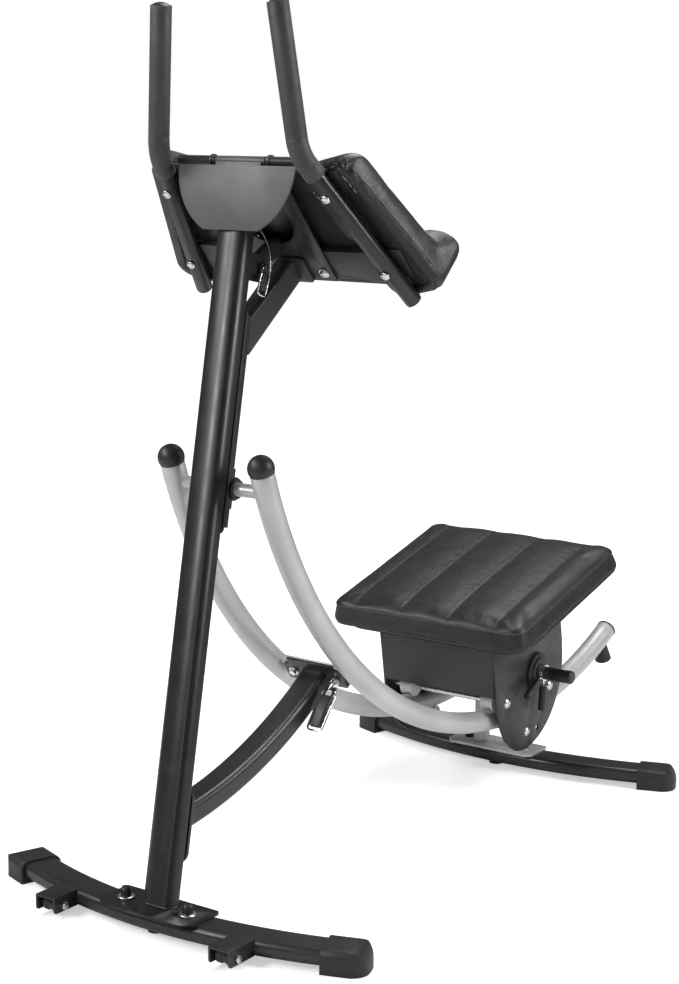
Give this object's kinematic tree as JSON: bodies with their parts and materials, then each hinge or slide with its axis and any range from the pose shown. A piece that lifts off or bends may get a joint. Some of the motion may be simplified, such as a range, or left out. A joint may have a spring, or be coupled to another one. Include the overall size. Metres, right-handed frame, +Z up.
{
  "type": "ab crunch machine",
  "caption": "Kneeling ab crunch machine: leaning upright with folding elbow-pad head, twin curved rails and a rolling, swivelling knee seat on bowed feet.",
  "frame": {"origin": "on the floor under the middle of the front foot", "axes": "+X sideways, to the side the head pin pulls out; +Y from the upright to the seat; +Z up"},
  "size_m": [0.7288, 1.4247, 1.4392],
  "materials": {
    "frame_black": "satin powder coat",
    "plate_grey": "satin powder coat, mid charcoal",
    "rail_silver": "silver grey satin paint",
    "zinc": "bright zinc plate",
    "spring_chrome": "polished",
    "black_plastic": "fine texture",
    "black_rubber": "matte",
    "roller_white": "hard nylon",
    "plywood": "bare",
    "board_black": "black covered board",
    "black_leather": "soft sheen",
    "grip_foam": "closed cell foam, matte"
  },
  "bodies": {
    "frame": {"upright": "frame_black", "pivot_channel": "frame_black", "pin_bracket": "frame_black", "upper_brace": "frame_black", "lower_brace": "frame_black", "head_bracket": "plate_grey", "upright_plug": "black_plastic", "front_foot": "frame_black", "front_boots": "black_rubber", "wheel_brackets": "frame_black", "wheel_axles": "zinc", "base_bolts": "zinc", "base_bolt_caps": "black_plastic", "pivot_bushes": "black_plastic", "lock_stud": "zinc", "hinge_rod": "zinc"},
    "wheel_l": {"wheel_left": "black_plastic"},
    "wheel_r": {"wheel_right": "black_plastic"},
    "rails": {"rail_left": "rail_silver", "rail_right": "rail_silver", "rail_caps": "black_plastic", "pivot_tube": "rail_silver", "lock_bar": "rail_silver", "rear_support": "rail_silver", "rear_foot": "frame_black", "rear_boots": "black_rubber", "rear_bolts": "zinc", "rear_bolt_caps": "black_plastic", "rail_bumpers": "black_rubber"},
    "carriage": {"carriage_box": "plate_grey", "side_plates": "plate_grey", "front_axle": "zinc", "rear_axle": "zinc", "lower_axle": "zinc", "weight_posts": "black_plastic", "post_flanges": "black_plastic", "swivel_washer": "roller_white", "swivel_bolt": "zinc"},
    "rollers_front": {"front_rollers": "roller_white"},
    "rollers_rear": {"rear_rollers": "roller_white"},
    "rollers_lower": {"lower_rollers": "roller_white"},
    "clip_l": {"collar_left": "spring_chrome"},
    "clip_r": {"collar_right": "spring_chrome"},
    "seat": {"swivel_plate": "plate_grey", "seat_board": "plywood", "seat_pad": "black_leather"},
    "arm_head": {"arm_yoke": "plate_grey", "arm_band": "plate_grey", "handle_left": "frame_black", "handle_right": "frame_black", "foam_sleeves": "grip_foam", "handle_plugs": "black_plastic", "arm_bolts": "zinc", "pad_boards": "board_black", "pad_left": "black_leather", "pad_right": "black_leather"},
    "lock_pin": {"lower_pin": "spring_chrome", "lower_pin_handle": "black_plastic"},
    "head_pin": {"upper_pin": "spring_chrome", "upper_pin_handle": "black_plastic"}
  },
  "joints": [
    {"name": "rails_fold", "type": "hinge", "parent": "frame", "child": "rails", "pos_m": [0, 0.1652, 0.68784], "axis": [1, 0, 0], "range_deg": [0, 60]},
    {"name": "arm_fold", "type": "hinge", "parent": "frame", "child": "arm_head", "pos_m": [0, 0.217, 1.198], "axis": [1, 0, 0], "range_deg": [0, 95]},
    {"name": "carriage_roll", "type": "hinge", "parent": "rails", "child": "carriage", "pos_m": [0, 0.97, 1.013], "axis": [1, 0, 0], "range_deg": [-33, 5]},
    {"name": "front_rollers_spin", "type": "hinge", "parent": "carriage", "child": "rollers_front", "pos_m": [0, 0.87737, 0.18718], "axis": [1, 0, 0], "range_deg": [-258, 1671]},
    {"name": "rear_rollers_spin", "type": "hinge", "parent": "carriage", "child": "rollers_rear", "pos_m": [0, 1.04243, 0.18516], "axis": [1, 0, 0], "range_deg": [-258, 1671]},
    {"name": "lower_rollers_spin", "type": "hinge", "parent": "carriage", "child": "rollers_lower", "pos_m": [0, 0.95586, 0.11311], "axis": [1, 0, 0], "range_deg": [-2489, 382]},
    {"name": "seat_swivel", "type": "hinge", "parent": "carriage", "child": "seat", "pos_m": [0, 0.956, 0.411], "axis": [0, -0.2588, 0.9659], "range_deg": [-30, 30]},
    {"name": "clip_left_slide", "type": "slide", "parent": "carriage", "child": "clip_l", "axis": [-1, 0, 0], "range_m": [0, 0.05]},
    {"name": "clip_right_slide", "type": "slide", "parent": "carriage", "child": "clip_r", "axis": [1, 0, 0], "range_m": [0, 0.05]},
    {"name": "lock_pin_pull", "type": "slide", "parent": "frame", "child": "lock_pin", "axis": [0, -0.7986, -0.6018], "range_m": [0, 0.03]},
    {"name": "head_pin_pull", "type": "slide", "parent": "frame", "child": "head_pin", "axis": [1, 0, 0], "range_m": [0, 0.045]},
    {"name": "wheel_left_spin", "type": "hinge", "parent": "frame", "child": "wheel_l", "pos_m": [-0.1765, -0.046, 0.019], "axis": [1, 0, 0], "continuous": true},
    {"name": "wheel_right_spin", "type": "hinge", "parent": "frame", "child": "wheel_r", "pos_m": [0.1765, -0.046, 0.019], "axis": [1, 0, 0], "continuous": true}
  ],
  "couplings": [
    {"joint": "front_rollers_spin", "follows": "carriage_roll", "ratio": -50.476},
    {"joint": "rear_rollers_spin", "follows": "carriage_roll", "ratio": -50.476},
    {"joint": "lower_rollers_spin", "follows": "carriage_roll", "ratio": 75.254}
  ]
}
